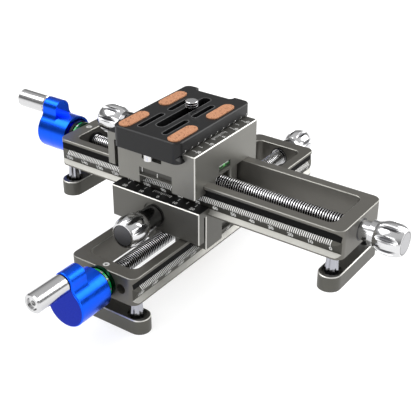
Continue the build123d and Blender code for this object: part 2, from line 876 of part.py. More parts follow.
frame_pieces = (
    rail_frame, end_bush, set_screw, race_fixed, foot_bars, foot_posts, foot_screws,
    bearing_cage, bearing_balls, lead_screw, screw_collar, race_turning, crank_hub,
    hub_set_screw, handle_screw, end_knob, crank_handle,
)
carriage_pieces = (
    carriage_body, drive_nut, nut_screws, bubble_vial, guide_pins,
    moving_jaw, clamp_knob, clamp_bolt, retaining_ring,
)
plate_pieces = (qr_plate, cork_pads, stop_screws, camera_screw, camera_washer)

lower_clamp_place = lower_carriage_place + clamp_middle
lower_unit = Rot(0, 0, 90)
upper_unit = Pos(upper_rail_place, lower_clamp_place, stack_height)
plate_place = Pos(upper_carriage_place + clamp_middle, plate_offset, 0)


def write(name, shape, place):
    """Put a piece, or a group of separate pieces, in place and write its file."""
    pieces = shape if isinstance(shape, list) else [shape]
    placed = [place * piece for piece in pieces]
    export_step(placed[0] if len(placed) == 1 else Compound(children=placed), f"parts/{name}.step")


def write_unit(prefix, place, carriage_place):
    """Write every piece of one rail unit."""
    for piece in frame_pieces:
        write(prefix + piece.__name__, piece(), place)
    for piece in carriage_pieces:
        write(prefix + piece.__name__, piece(), place * Pos(carriage_place, 0, 0))


write_unit("lower_", lower_unit, lower_carriage_place)
write_unit("upper_", upper_unit, upper_carriage_place)
for plate_piece in plate_pieces:
    write(plate_piece.__name__, plate_piece(), upper_unit * plate_place)
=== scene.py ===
from math import cos, pi, radians, sin

import bmesh
import bpy
from mathutils import Matrix, Vector


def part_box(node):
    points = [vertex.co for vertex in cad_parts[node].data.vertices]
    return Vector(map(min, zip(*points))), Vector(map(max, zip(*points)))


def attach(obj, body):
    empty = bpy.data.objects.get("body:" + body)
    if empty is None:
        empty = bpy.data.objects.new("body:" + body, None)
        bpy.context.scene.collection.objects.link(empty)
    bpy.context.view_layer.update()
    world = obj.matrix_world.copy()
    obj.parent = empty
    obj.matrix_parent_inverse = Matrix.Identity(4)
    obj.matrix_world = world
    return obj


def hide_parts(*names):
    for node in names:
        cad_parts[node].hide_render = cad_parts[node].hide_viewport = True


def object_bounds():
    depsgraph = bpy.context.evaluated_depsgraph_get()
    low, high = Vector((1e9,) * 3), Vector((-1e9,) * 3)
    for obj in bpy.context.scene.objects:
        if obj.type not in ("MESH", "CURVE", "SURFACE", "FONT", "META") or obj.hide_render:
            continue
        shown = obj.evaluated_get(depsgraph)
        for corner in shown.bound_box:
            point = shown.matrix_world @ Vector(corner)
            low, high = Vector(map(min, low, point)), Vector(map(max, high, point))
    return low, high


# Macro focusing rail: two rail units stacked crosswise, with a quick-release plate on top.
# Lengths are written in millimetres and turned into metres by mm(). A rail unit's own frame has
# "along" from the crank end to the far end, "across" the rail, and "up" from the rail's bottom.

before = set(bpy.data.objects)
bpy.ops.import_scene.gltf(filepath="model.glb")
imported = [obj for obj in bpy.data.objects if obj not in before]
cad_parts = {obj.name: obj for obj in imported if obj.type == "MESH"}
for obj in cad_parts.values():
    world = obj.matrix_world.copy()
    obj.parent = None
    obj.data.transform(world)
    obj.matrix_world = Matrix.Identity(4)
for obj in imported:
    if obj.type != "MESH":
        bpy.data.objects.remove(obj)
cad_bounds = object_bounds()
units = ("lower", "upper")


def mm(value):
    """Millimetres to metres, for a number or a point."""
    if isinstance(value, (int, float)):
        return value / 1000
    return Vector(value) / 1000


# ---- Places read from the frame -----------------------------------------------------------------

def unit_turn(unit):
    """The turn and shift from a rail unit's own frame to the object's frame."""
    low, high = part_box(unit + "_rail_frame")
    middle = Vector(((low[0] + high[0]) / 2, (low[1] + high[1]) / 2, low[2]))
    turn = Matrix.Rotation(radians(90), 4, "Z") if unit == "lower" else Matrix.Identity(4)
    return Matrix.Translation(middle) @ turn


def node_box(name):
    """The lowest and highest corner of a node in the object's frame, in millimetres."""
    return [Vector(corner) * 1000 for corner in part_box(name)]


def unit_box(unit, name):
    """The lowest and highest corner of a unit's node in the unit's own frame, in millimetres."""
    back = unit_turn(unit).inverted()
    corners = [back @ Vector(corner) * 1000 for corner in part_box(unit + "_" + name)]
    low = Vector([min(corner[axis] for corner in corners) for axis in range(3)])
    high = Vector([max(corner[axis] for corner in corners) for axis in range(3)])
    return low, high


def box_middle(unit, name):
    """The middle of a unit's node in the unit's own frame, in millimetres."""
    low, high = unit_box(unit, name)
    return (low + high) / 2


# ---- Sizes that the finishes, the figures and the screws follow, in millimetres -----------------

# The rail's flanks: distances from the rail's middle, then heights over its bottom
flank_start = 16.5          # guide grooves and flange bevels lie farther out than this
flank_end = 18.97           # a hair inside the rail's side faces
band_start = 17.0           # the number band lies farther out than this
bevel_bottom = 0.6          # the flange's bevel reaches up to the number band
band_bottom = 2.6           # the number band and the tick bevel reach up to the guide groove
groove_bottom = 8.5
groove_top = 12.9
top_edge_bottom = 14.0      # the broken edge round the rail's top

# The rail's scale
scale_length = 150.0
tick_width = 0.42
tick_length = 2.2
fifth_length = 2.6
tenth_length = 2.8
figure_height = 0.02        # half of a raised figure's thickness
number_across = -18.02      # a number's middle, a hair over the number band
number_up = 4.4
band_slant = (0, -1.84, 4.46)

# The screws and the bearing
lead_pitch = 1.25
lead_shank_radius = 3.95
lead_core_radius = 3.2
lead_crest_radius = 3.88
# The thread's valleys are painted dark as shade up to this radius.
lead_valley_radius = 3.56   # the thread is dark up to here
lead_spigot_radius = 3.0
camera_pitch = 1.08
camera_turns = 2
camera_head_radius = 4.8
camera_head_height = 1.8
camera_shank_radius = 2.3
camera_thread_length = 3.4
camera_core_radius = 2.5
camera_crest_radius = 3.17
camera_valley_radius = 2.88
camera_cap_radius = 2.98
camera_cap_length = 0.65
coin_slot_width = 1.2
coin_slot_depth = 0.9
ball_count = 10

# The knobs
barrel_half = 6.5           # half of the fluted barrel's length
barrel_radius = 7.8
barrel_drop = 1.75          # how much thinner the barrel is at its ends
# The flutes are painted darker as shade between these depths under the barrel's outline.
flute_start = 0.2           # a flute's finish starts this deep under the barrel's outline,
flute_full = 0.9            # and is full from here
satin_radius = 5.35         # the satin disc inside the bright ring
satin_line = 0.35           # the dark line round that disc

# The jaws' ledges, along the unit from the carriage's middle
fixed_ledge = 16.0          # the edge of the fixed jaw's ledge
fixed_numbers = 20.6
moving_numbers = -25.6
ledge_gap = 1.0             # from the ledge's edge to its ticks
ledge_tick_end = 2.4
ledge_fifth_end = 3.2
ledge_tick_reach = 5.3      # single ticks lie nearer to the ledge's middle than this
ledge_fifth_reach = 20.5

# The index pocket in the near skirt, with heights over the rail's bottom
pocket_depth = 1.5
pocket_bottom = 14.3
pocket_top = 18.2

# The plate's slots: their ends along Y from the plate's middle, and their radius
screw_slot = (-19.0, 21.0)
screw_slot_radius = 2.5
near_slots = (-24.3, -6.0)
far_slots = (-1.5, 15.0)
side_slot_radius = 1.4
side_slot_offset = 7.0      # from the plate's middle line
slot_rim_width = 0.32
plate_flange_height = 5.6   # of the side that carries the plate's scale
plate_scale_reach = 25.5    # from the plate's middle to both ends of that scale

# The level, by the distance from its middle
vial_bubble_half = 0.9
vial_ring = (1.5, 1.8)


# ---- Materials ----------------------------------------------------------------------------------

class Value:
    """The output of a node, which takes part in sums."""

    def __init__(self, finish, output):
        self.finish = finish
        self.output = output

    def __add__(self, other):
        return self.finish.maths("ADD", self, other)

    def __radd__(self, other):
        return self.finish.maths("ADD", other, self)

    def __sub__(self, other):
        return self.finish.maths("SUBTRACT", self, other)

    def __rsub__(self, other):
        return self.finish.maths("SUBTRACT", other, self)

    def __mul__(self, other):
        return self.finish.maths("MULTIPLY", self, other)

    def __rmul__(self, other):
        return self.finish.maths("MULTIPLY", other, self)

    def __truediv__(self, other):
        return self.finish.maths("DIVIDE", self, other)

    def __pow__(self, other):
        return self.finish.maths("POWER", self, other)

    def __abs__(self):
        return self.finish.maths("ABSOLUTE", self)

    def __gt__(self, other):
        return self.finish.maths("GREATER_THAN", self, other)

    def __lt__(self, other):
        return self.finish.maths("LESS_THAN", self, other)

    def repeat(self, spacing):
        """The distance past the last multiple of spacing."""
        return self.finish.maths("FLOORED_MODULO", self, spacing)


class Finish:
    """One material, built from nodes that read Object coordinates, or the world."""

    def __init__(self, name, owners=bpy.data.materials, shader="Principled BSDF"):
        self.material = owners.new(name)
        self.material.use_nodes = True
        self.tree = self.material.node_tree
        self.shader = self.tree.nodes[shader]

    def node(self, kind, settings=None, inputs=None, output=0):
        """Adds a node with its settings and the values or links of its sockets."""
        made = self.tree.nodes.new(kind)
        for name, setting in (settings or {}).items():
            if name == "stops":
                self.set_stops(made.color_ramp, setting)
            else:
                setattr(made, name, setting)
        for socket, value in (inputs or {}).items():
            self.feed(made.inputs[socket], value)
        return Value(self, made.outputs[output])

    def set_stops(self, ramp, stops):
        """Gives a colour ramp its (place, grey) stops."""
        while len(ramp.elements) < len(stops):
            ramp.elements.new(0.5)
        for element, (place, level) in zip(ramp.elements, stops):
            element.position = place
            element.color = grey(level)

    def feed(self, socket, value):
        """Links a node's output to a socket, or sets the socket's own value."""
        if isinstance(value, Value):
            self.tree.links.new(value.output, socket)
        else:
            socket.default_value = value

    def maths(self, operation, first, second=0.0):
        """A Math node's result."""
        return self.node("ShaderNodeMath", {"operation": operation}, {0: first, 1: second})

    def coordinates(self):
        return self.node("ShaderNodeTexCoord", output="Object")

    def place(self, axis):
        """The X, Y or Z place on the object, in millimetres."""
        return self.node("ShaderNodeSeparateXYZ", None, {0: self.coordinates()}, axis) * 1000.0

    def facing(self, axis):
        """How far the surface faces along X, Y or Z, from -1 to 1."""
        normal = self.node("ShaderNodeNewGeometry", output="True Normal")
        return self.node("ShaderNodeSeparateXYZ", None, {0: normal}, axis)

    def unit_place(self, unit):
        """The place along, across and up a rail unit, in millimetres."""
        start = unit_turn(unit).translation * 1000
        x, y, z = [self.place(axis) - start[axis] for axis in range(3)]
        return (y, -1.0 * x, z) if unit == "lower" else (x, y, z)

    def unit_facing(self, unit):
        """How far the surface faces along, across and up a rail unit."""
        x, y, z = [self.facing(axis) for axis in range(3)]
        return (y, -1.0 * x, z) if unit == "lower" else (x, y, z)

    def noise(self, size, detail=2.0):
        """Noise with grains of about size millimetres."""
        inputs = {"Vector": self.coordinates(), "Scale": 1000.0 / size, "Detail": detail}
        return self.node("ShaderNodeTexNoise", None, inputs, "Fac")

    def ramp(self, value, *stops):
        """Maps a value through (place, grey) stops."""
        return self.node("ShaderNodeValToRGB", {"stops": stops}, {"Fac": value})

    def rise(self, distance, low, high):
        """0 up to a low distance and 1 from a high one, both under 10 mm."""
        return self.ramp(distance / 10.0, (low / 10.0, 0.0), (high / 10.0, 1.0))

    def mix(self, factor, first, second):
        """A colour between two colours."""
        return self.node("ShaderNodeMix", {"data_type": "RGBA"}, {0: factor, 6: first, 7: second}, 2)

    def surface(self, **inputs):
        """Feeds the shader's sockets."""
        for name, value in inputs.items():
            self.feed(self.shader.inputs[name.replace("_", " ")], value)
        return self

    def bump(self, height, depth):
        """Raises the surface by depth millimetres where height is 1."""
        inputs = {"Height": height, "Distance": mm(depth), "Strength": 1.0}
        self.surface(Normal=self.node("ShaderNodeBump", None, inputs))
        return self


def grey(level):
    return (level, level, level, 1)


def linear(red, green, blue):
    """A colour given by its picture values, 0 to 255."""
    return tuple((part / 255) ** 2.2 for part in (red, green, blue)) + (1,)


def between(value, low, high):
    """1 where the value lies between the limits."""
    return (value > low) * (value < high)


def marks(distance, spacing, width):
    """Lines of a width at every multiple of the spacing."""
    return (distance + width / 2).repeat(spacing) < width


def slanting(level):
    """1 where a surface slants by about 45 degrees, as a bevel does."""
    return between(level, 0.6, 0.8)


def blasted(name, colour, metallic=0.75, roughness=0.42, grain_size=0.25):
    """A bead-blasted surface: fine grain, faint clouds, and rubbed-smooth patches.
    Its base colour and its rough value stay at hand for features that are laid over them."""
    finish = Finish(name)
    grain = finish.noise(grain_size)
    cloud = finish.noise(18.0)
    rubbed = finish.ramp(finish.noise(6.0), (0.55, 0.0), (0.8, 1.0))
    dark = tuple(part * 0.86 for part in colour[:3]) + (1,)
    finish.base = finish.mix(cloud, dark, colour)
    finish.surface(Base_Color=finish.base, Metallic=metallic)
    finish.rough = roughness + (grain - 0.5) * 0.12 - rubbed * 0.06
    finish.surface(Roughness=finish.rough)
    return finish.bump(grain, 0.004)


def turned(name, colour, roughness=0.16):
    """Turned and polished metal: fine streaks and a few smears."""
    finish = Finish(name)
    streak = finish.noise(0.5)
    smear = finish.noise(9.0)
    dark = tuple(part * 0.9 for part in colour[:3]) + (1,)
    finish.surface(Base_Color=finish.mix(smear, dark, colour), Metallic=1.0)
    return finish.surface(Roughness=roughness + (streak - 0.5) * 0.08 + (smear - 0.5) * 0.06)


# The lower unit's greys are darker than the upper's: painted shade.
rail_grey_with_painted_shade = {"lower": linear(104, 102, 97), "upper": linear(114, 112, 107)}
jaw_grey_with_painted_shade = {"lower": linear(102, 101, 97), "upper": linear(130, 129, 124)}
# Painted highlights: lighter greys for broken edges and bevels
broken_edge_painted_highlight = linear(204, 203, 198)
rail_top_edge_painted_highlight = linear(146, 145, 140)
bevel_painted_highlight = linear(160, 159, 154)
band_grey = linear(74, 73, 69)
ledge_grey = linear(84, 83, 79)
# Painted shade: near-black for the rail's guide grooves
groove_painted_shade = linear(14, 14, 14)
paint_white = linear(232, 232, 230)
# Black paint for the level's rings, and painted shadow for the moving jaw's ledge
black_paint_and_painted_shadow = linear(30, 30, 31)
knob_silver = linear(210, 210, 211)

silver = turned("polished_silver", linear(206, 206, 207))
chrome = turned("chrome", linear(168, 169, 176), 0.1)
steel = turned("bright_steel", linear(215, 215, 215), 0.2)
zinc = blasted("zinc_plate", linear(208, 208, 206), metallic=0.3, roughness=0.35)
dark_steel = blasted("black_oxide", linear(34, 34, 36), metallic=0.6, roughness=0.4)
brass = turned("machined_brass", linear(200, 165, 90), 0.25)
# Painted reflection: steel tinted dark green, for the fixed race beside the green cage
steel_painted_green_reflection = turned("steel_painted_green_reflection", linear(24, 64, 44), 0.3)


def rail_finish(unit):
    """The rail: guide grooves painted near-black as shade, flange bevels and top edge painted lighter
    as highlights, and the millimetre scale's ticks.
    """
    finish = blasted(unit + "_rail_grey_with_painted_shade", rail_grey_with_painted_shade[unit])
    along, across, up = finish.unit_place(unit)
    end_on, side_on, level = finish.unit_facing(unit)
    flank = abs(across) > flank_start
    sloping = slanting(level)
    # Painted shade: the guide grooves are made near-black, rougher and less metallic.
    groove = flank * (abs(across) < flank_end) * (abs(end_on) < 0.05)
    groove = groove * between(up, groove_bottom, groove_top)
    # Painted highlight: the flange's bevel and the broken edge round the top are lighter.
    bevel = flank * between(up, bevel_bottom, band_bottom) * sloping
    edge = (up > top_edge_bottom) * sloping
    band = (across < -band_start) * (side_on < -0.5) * between(up, band_bottom, groove_bottom)
    distance = along + scale_length / 2
    tick = marks(distance, 1.0, tick_width) * (up > groove_bottom - tick_length)
    fifth = marks(distance, 5.0, tick_width) * (up > groove_bottom - fifth_length)
    tenth = marks(distance, 10.0, tick_width + 0.04) * (up > groove_bottom - tenth_length)
    scale = (tick + fifth + tenth > 0.5) * band * between(distance, -0.3, scale_length + 0.3)
    colour = finish.mix(band, finish.base, band_grey)
    colour = finish.mix(bevel, colour, bevel_painted_highlight)
    colour = finish.mix(edge, colour, rail_top_edge_painted_highlight)
    colour = finish.mix(groove, colour, groove_painted_shade)
    colour = finish.mix(scale, colour, paint_white)
    finish.surface(Roughness=finish.rough + groove * 0.3, Specular_IOR_Level=0.15)
    return finish.surface(Base_Color=colour, Metallic=0.75 - 0.75 * scale - 0.75 * groove)


def hub_finish(unit):
    """The crank hub: bright blue, its flat outer face painted a deeper blue as shade."""
    settings = {"metallic": 1.0, "roughness": 0.26, "grain_size": 0.15}
    finish = blasted(unit + "_anodised_blue", linear(28, 92, 244), **settings)
    # Painted shade: the flat outer face, toward the crank, is a darker blue.
    flat = finish.unit_facing(unit)[0] < -0.95
    return finish.surface(Base_Color=finish.mix(flat, finish.base, linear(24, 43, 154)))


def cage_finish(unit):
    """The bearing's green cage, with steel patches painted at the balls' places as glints."""
    finish = blasted(unit + "_green_nylon", linear(8, 150, 76), metallic=0.0, roughness=0.25)
    along, across, up = finish.unit_place(unit)
    middle = box_middle(unit, "bearing_cage")
    angle = finish.maths("ARCTAN2", up - middle.z, across)
    turn = angle * (ball_count / (2 * pi))
    # Painted glints: steel patches round the rim where the balls lie.
    window = abs((turn + 0.5).repeat(1.0) - 0.5) < 0.15
    window = window * (abs(along - middle.x) < 0.5)
    colour = finish.mix(window, finish.base, linear(235, 235, 235))
    return finish.surface(Base_Color=colour, Metallic=window * 1.0)


def foot_finish():
    """The feet's bars: dark grey with painted highlights on their top edges."""
    finish = blasted("foot_grey", linear(92, 91, 86))
    # Painted highlight on the bars' slanted top edges.
    edge = slanting(finish.facing(2))
    return finish.surface(Base_Color=finish.mix(edge, finish.base, broken_edge_painted_highlight))


def thread_finish(name, radius, valley):
    """A screw's thread: valleys painted dark as shade up to the valley's radius, and bright crests.
    """
    finish = turned(name, linear(205, 205, 206), 0.24)
    crest = finish.rise(radius(finish), valley, valley + 0.15)
    # Painted shade: dark valleys, bright steel crests.
    colour = finish.mix(crest, linear(26, 26, 28), linear(224, 224, 225))
    return finish.surface(Base_Color=colour)


def lead_screw_finish(unit):
    """The lead screw's finish, by the distance from its axis."""
    height = box_middle(unit, "lead_screw").z

    def radius(finish):
        along, across, up = finish.unit_place(unit)
        return (across ** 2.0 + (up - height) ** 2.0) ** 0.5

    return thread_finish(unit + "_thread_steel", radius, lead_valley_radius)


def camera_screw_finish():
    """The camera screw's finish, by the distance from its axis. Its head and cap are bright."""
    low, high = node_box("camera_screw")
    middle = (low + high) / 2

    def radius(finish):
        x, y = [finish.place(axis) - middle[axis] for axis in range(2)]
        up = finish.place(2)
        head = up < low.z + camera_head_height + 0.2
        cap = up > high.z - camera_cap_length + 0.05
        return (x ** 2.0 + y ** 2.0) ** 0.5 + 9.0 * (head + cap)

    return thread_finish("camera_screw_steel", radius, camera_valley_radius)


def knob_finish(unit, name, direction, disc_grey_and_shade, neck_grey_and_shade):
    """A turned knob: satin disc in a bright ring, and flutes painted darker as shade between polished
    lands.
    Its direction is 1 or -1, the way along the unit that its disc faces."""
    finish = turned(unit + "_" + name + "_silver", knob_silver)
    low, high = unit_box(unit, name)
    middle = (low + high) / 2
    along, across, up = finish.unit_place(unit)
    radius = ((across - middle.y) ** 2.0 + (up - middle.z) ** 2.0) ** 0.5
    tip = high.x if direction > 0 else low.x
    from_barrel = along - (tip - direction * barrel_half)
    outline = barrel_radius - (from_barrel / barrel_half) ** 2.0 * barrel_drop
    barrel = abs(from_barrel) < barrel_half - 0.1
    flute = finish.rise(outline - radius, flute_start, flute_full) * barrel
    disc = (abs(along - tip) < 0.05) * (radius < satin_radius)
    line = disc * (radius > satin_radius - satin_line)
    neck = from_barrel * -direction > barrel_half + 0.1
    # Painted shade: the flutes are darker than the lands.
    colour = finish.mix(flute, knob_silver, linear(78, 78, 80))
    colour = finish.mix(neck, colour, linear(neck_grey_and_shade, neck_grey_and_shade, neck_grey_and_shade + 1))
    colour = finish.mix(disc, colour, linear(disc_grey_and_shade, disc_grey_and_shade, disc_grey_and_shade + 2))
    colour = finish.mix(line, colour, linear(50, 50, 51))
    return finish.surface(Base_Color=colour, Roughness=0.16 + disc * 0.24)


def sharp_edges(finish, low, high, places):
    """The broken edges along a block's top and its upright corners, which get a painted highlight."""
    margin = 0.6
    slanted = 1.0
    for axis in range(3):
        slanted = slanted * (abs(finish.facing(axis)) < 0.85)
    along, across, up = places
    ends = abs(along - (low.x + high.x) / 2) > (high.x - low.x) / 2 - margin
    sides = abs(across - (low.y + high.y) / 2) > (high.y - low.y) / 2 - margin
    return slanted * ((up > high.z - margin) + ends * sides > 0.5)


def ledge_scale(finish, across, away):
    """White ticks across a jaw's ledge: single millimetres in the middle, and every fifth.
    Away is the distance from the ledge's edge."""
    distance = across + 100.0
    tick = marks(distance, 1.0, 0.28) * (abs(across) < ledge_tick_reach)
    tick = tick * between(away, ledge_gap, ledge_tick_end)
    fifth = marks(distance, 5.0, 0.34) * (abs(across) < ledge_fifth_reach)
    fifth = fifth * between(away, ledge_gap, ledge_fifth_end)
    return tick + fifth > 0.5


def jaw_finish(unit):
    """The moving jaw: top ledge painted black as shadow, with a white scale."""
    finish = blasted(unit + "_jaw_grey_with_painted_shade", jaw_grey_with_painted_shade[unit])
    along, across, up = finish.unit_place(unit)
    low, high = unit_box(unit, "moving_jaw")
    ledge = (up > high.z - 0.1) * (finish.facing(2) > 0.9)
    scale = ledge * ledge_scale(finish, across, high.x - along)
    edge = sharp_edges(finish, low, high, (along, across, up))
    # Painted shadow: the ledge is black.
    colour = finish.mix(ledge, finish.base, black_paint_and_painted_shadow)
    # Painted highlight on the broken edges.
    colour = finish.mix(edge, colour, broken_edge_painted_highlight)
    colour = finish.mix(scale, colour, paint_white)
    return finish.surface(Base_Color=colour, Metallic=0.75 - 0.75 * scale - 0.3 * ledge)


def carriage_finish(unit):
    """The carriage: dark ledge with a scale on the fixed jaw, the index pocket's index line, a white
    painted highlight by the pocket's left wall, and painted highlights on its broken edges.
    """
    finish = blasted(unit + "_carriage_grey", jaw_grey_with_painted_shade[unit])
    along, across, up = finish.unit_place(unit)
    low, high = unit_box(unit, "carriage_body")
    from_middle = along - (low.x + high.x) / 2
    ledge = (up > high.z - 0.1) * (finish.facing(2) > 0.9)
    scale = ledge * ledge_scale(finish, across, from_middle - fixed_ledge)
    pocket_floor = abs(across - (low.y + pocket_depth)) < 0.1
    pocket = pocket_floor * between(up, pocket_bottom + 0.05, pocket_top - 0.05)
    index = (abs(from_middle) < 0.2) * between(up, pocket_bottom + 0.1, pocket_bottom + 2.1)
    # Painted highlight: a white stripe by the pocket's left wall.
    pocket_wall_painted_highlight = between(from_middle, -9.2, -8.7) * between(up, pocket_bottom + 0.7, pocket_top - 0.6)
    scale = scale + pocket * (index + pocket_wall_painted_highlight) > 0.5
    edge = sharp_edges(finish, low, high, (along, across, up))
    colour = finish.mix(ledge, finish.base, ledge_grey)
    # Painted highlight on the broken edges.
    colour = finish.mix(edge, colour, broken_edge_painted_highlight)
    colour = finish.mix(pocket, colour, linear(78, 77, 74))
    colour = finish.mix(scale, colour, paint_white)
    return finish.surface(Base_Color=colour, Metallic=0.75 - 0.75 * scale - 0.3 * ledge)


def slot_rim(finish, x, y, ends, radius):
    """1 on a slot's rim, where a painted highlight goes. x is the distance from the slot's own
    middle line, and y the distance from the plate's middle."""
    start, end = ends
    past = abs(y - (start + end) / 2) - ((end - start) / 2 - radius)
    past = finish.maths("MAXIMUM", past, 0.0)
    return between((x ** 2.0 + past ** 2.0) ** 0.5, radius, radius + slot_rim_width)


def plate_finish():
    """The black plate: painted highlights on the slot rims, and a white scale on the flange by the
    fixed jaw.
    """
    finish = blasted("plate_black", linear(31, 31, 32), metallic=0.45, roughness=0.36)
    across = finish.unit_place("upper")[1]
    low, high = node_box("qr_plate")
    x, y, z = [finish.place(axis) - (low[axis] + high[axis]) / 2 for axis in range(3)]
    half = (high - low) / 2
    flank = (x > half.x - 3.0) * (finish.facing(0) > 0.5) * (z < plate_flange_height - half.z)
    scale = marks(across + 100.0, 5.0, 0.4) * (abs(across) < plate_scale_reach) * flank
    rim = slot_rim(finish, x, y, screw_slot, screw_slot_radius)
    for ends in (near_slots, far_slots):
        rim = rim + slot_rim(finish, abs(x) - side_slot_offset, y, ends, side_slot_radius)
    rim = rim * (finish.facing(2) > 0.9) * (z > half.z - 0.1)
    # Painted highlight: lighter rims round the slots.
    colour = finish.mix(rim, finish.base, linear(112, 112, 113))
    colour = finish.mix(scale, colour, paint_white)
    return finish.surface(Base_Color=colour, Metallic=0.45 - 0.45 * scale)


def vial_finish(unit):
    """The level's tube: clear green with two black rings."""
    finish = Finish(unit + "_vial_green")
    across = finish.unit_place(unit)[1] - box_middle(unit, "bubble_vial").y
    ring = between(abs(across), *vial_ring)
    bubble = abs(across) < vial_bubble_half
    haze = finish.noise(1.5)
    liquid = finish.mix(haze, linear(8, 66, 22), linear(16, 96, 34))
    colour = finish.mix(bubble, liquid, linear(60, 150, 62))
    colour = finish.mix(ring, colour, black_paint_and_painted_shadow)
    return finish.surface(Base_Color=colour, Roughness=0.06 + haze * 0.04, Coat_Weight=0.8)


def cork_finish():
    """Cork and rubber blend: dark and pale granules."""
    finish = Finish("cork")
    granule = finish.noise(0.5, 3.0)
    fleck = finish.ramp(finish.noise(0.9, 1.0), (0.6, 0.0), (0.68, 1.0))
    pale = finish.ramp(granule, (0.35, 0.0), (0.65, 1.0))
    colour = finish.mix(pale, linear(156, 104, 74), linear(192, 140, 106))
    colour = finish.mix(fleck, colour, linear(124, 80, 56))
    finish.surface(Base_Color=colour, Roughness=0.82 + granule * 0.12, Metallic=0.0)
    return finish.bump(granule, 0.05)


# ---- Making pieces ------------------------------------------------------------------------------

def deselect_all():
    bpy.ops.object.select_all(action="DESELECT")


def activate(piece):
    """Makes a piece the only selected and the active object."""
    deselect_all()
    piece.select_set(True)
    bpy.context.view_layer.objects.active = piece


def settle(piece, matrix=None):
    """Turns and shifts a piece, and puts its place into its mesh."""
    activate(piece)
    if matrix:
        piece.matrix_world = matrix @ piece.matrix_world
    bpy.ops.object.transform_apply(location=True, rotation=True, scale=True)


def keep(piece, name, finish, body, replaced=None):
    """Names a finished piece, dresses it, and lets it ride on its body."""
    settle(piece)
    piece.name = name
    piece.data.name = name
    piece.data.materials.clear()
    piece.data.materials.append(finish.material)
    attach(piece, body)
    if replaced:
        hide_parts(replaced)


def join(pieces):
    """One object from several."""
    deselect_all()
    for piece in pieces:
        piece.select_set(True)
    bpy.context.view_layer.objects.active = pieces[0]
    bpy.ops.object.join()
    return bpy.context.object


def select_vertices(test):
    """Selects the edited mesh's vertices by their place."""
    bpy.ops.mesh.select_all(action="DESELECT")
    mesh = bmesh.from_edit_mesh(bpy.context.object.data)
    turn = bpy.context.object.matrix_world
    for vertex in mesh.verts:
        vertex.select = test(turn @ vertex.co)
    mesh.select_flush(True)
    bmesh.update_edit_mesh(bpy.context.object.data)


def round_bar(start, end, radius, chamfer=0.0):
    """A bar about the X axis, its ends chamfered."""
    deselect_all()
    size = {"radius": mm(radius), "depth": mm(end - start), "rotation": (0, pi / 2, 0)}
    bpy.ops.mesh.primitive_cylinder_add(vertices=48, location=mm(((start + end) / 2, 0, 0)), **size)
    bar = bpy.context.object
    settle(bar)
    if chamfer:
        modifier = bar.modifiers.new("chamfer", "BEVEL")
        modifier.width = mm(chamfer)
        modifier.limit_method = "ANGLE"
        bpy.ops.object.modifier_apply(modifier="chamfer")
    bpy.ops.object.shade_smooth_by_angle(angle=radians(30))
    return bar


def thread_ridge(start, turns, pitch, root, crest):
    """A thread's ridge about the X axis: a tapered section, wound by the Screw modifier."""
    foot_share = 0.92           # of the pitch
    crest_share = 0.22          # of the foot
    steps = 24                  # in one turn
    deselect_all()
    bpy.ops.mesh.primitive_plane_add(size=1, rotation=(pi / 2, 0, 0))
    ridge = bpy.context.object
    bpy.ops.object.mode_set(mode="EDIT")
    section = mm((pitch * foot_share, 1000, crest - root))
    bpy.ops.transform.resize(value=section, center_override=(0, 0, 0))
    select_vertices(lambda place: place.z > 0)
    bpy.ops.transform.resize(value=(crest_share, 1, 1), center_override=(0, 0, 0))
    bpy.ops.mesh.select_all(action="SELECT")
    bpy.ops.transform.translate(value=mm((start + pitch / 2, 0, (root + crest) / 2)))
    bpy.ops.object.mode_set(mode="OBJECT")
    bpy.ops.object.transform_apply(location=True, rotation=True, scale=True)
    winding = ridge.modifiers.new("winding", "SCREW")
    winding.axis = "X"
    winding.screw_offset = mm(pitch)
    winding.iterations = turns
    winding.steps = steps
    winding.render_steps = steps
    bpy.ops.object.modifier_apply(modifier="winding")
    bpy.ops.object.mode_set(mode="EDIT")
    bpy.ops.mesh.select_all(action="SELECT")
    bpy.ops.mesh.fill_holes(sides=4)
    bpy.ops.mesh.normals_make_consistent(inside=False)
    bpy.ops.object.mode_set(mode="OBJECT")
    bpy.ops.object.shade_smooth_by_angle(angle=radians(25))
    return ridge


def raised_figures(words, matrix, size, weight):
    """Figures that stand a hair over a face. The matrix places their middle, and weight
    thickens their strokes."""
    deselect_all()
    bpy.ops.object.text_add()
    piece = bpy.context.object
    piece.data.body = words
    piece.data.size = mm(size)
    piece.data.align_x = "CENTER"
    piece.data.align_y = "CENTER"
    piece.data.resolution_u = 3
    piece.data.offset = mm(weight)
    piece.data.extrude = mm(figure_height)
    bpy.ops.object.convert(target="MESH")
    settle(piece, matrix)
    return piece


def figures_place(place, right, up):
    """A figure's place, from its middle, its reading direction and its upright direction."""
    right = Vector(right).normalized()
    up = Vector(up).normalized()
    turn = Matrix((right, up, right.cross(up))).transposed().to_4x4()
    return Matrix.Translation(mm(place)) @ turn


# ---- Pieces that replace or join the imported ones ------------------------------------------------

def lead_screw(unit):
    """The lead screw with its thread between the crank's shank and the knob's spigot."""
    low, high = unit_box(unit, "lead_screw")
    thread_start = unit_box(unit, "screw_collar")[1].x
    thread_end = unit_box(unit, "end_bush")[0].x
    turns = int((thread_end - thread_start) / lead_pitch)
    shank = round_bar(low.x, thread_start, lead_shank_radius, chamfer=0.3)
    core = round_bar(thread_start, thread_end, lead_core_radius)
    ridge = thread_ridge(thread_start, turns, lead_pitch, lead_core_radius - 0.1, lead_crest_radius)
    spigot = round_bar(thread_end, high.x, lead_spigot_radius, chamfer=0.3)
    screw = join([shank, core, ridge, spigot])
    axis = Matrix.Translation(mm((0, 0, (low.z + high.z) / 2)))
    settle(screw, unit_turn(unit) @ axis)
    name = unit + "_threaded_screw"
    keep(screw, name, lead_screw_finish(unit), unit + "_screw", unit + "_lead_screw")


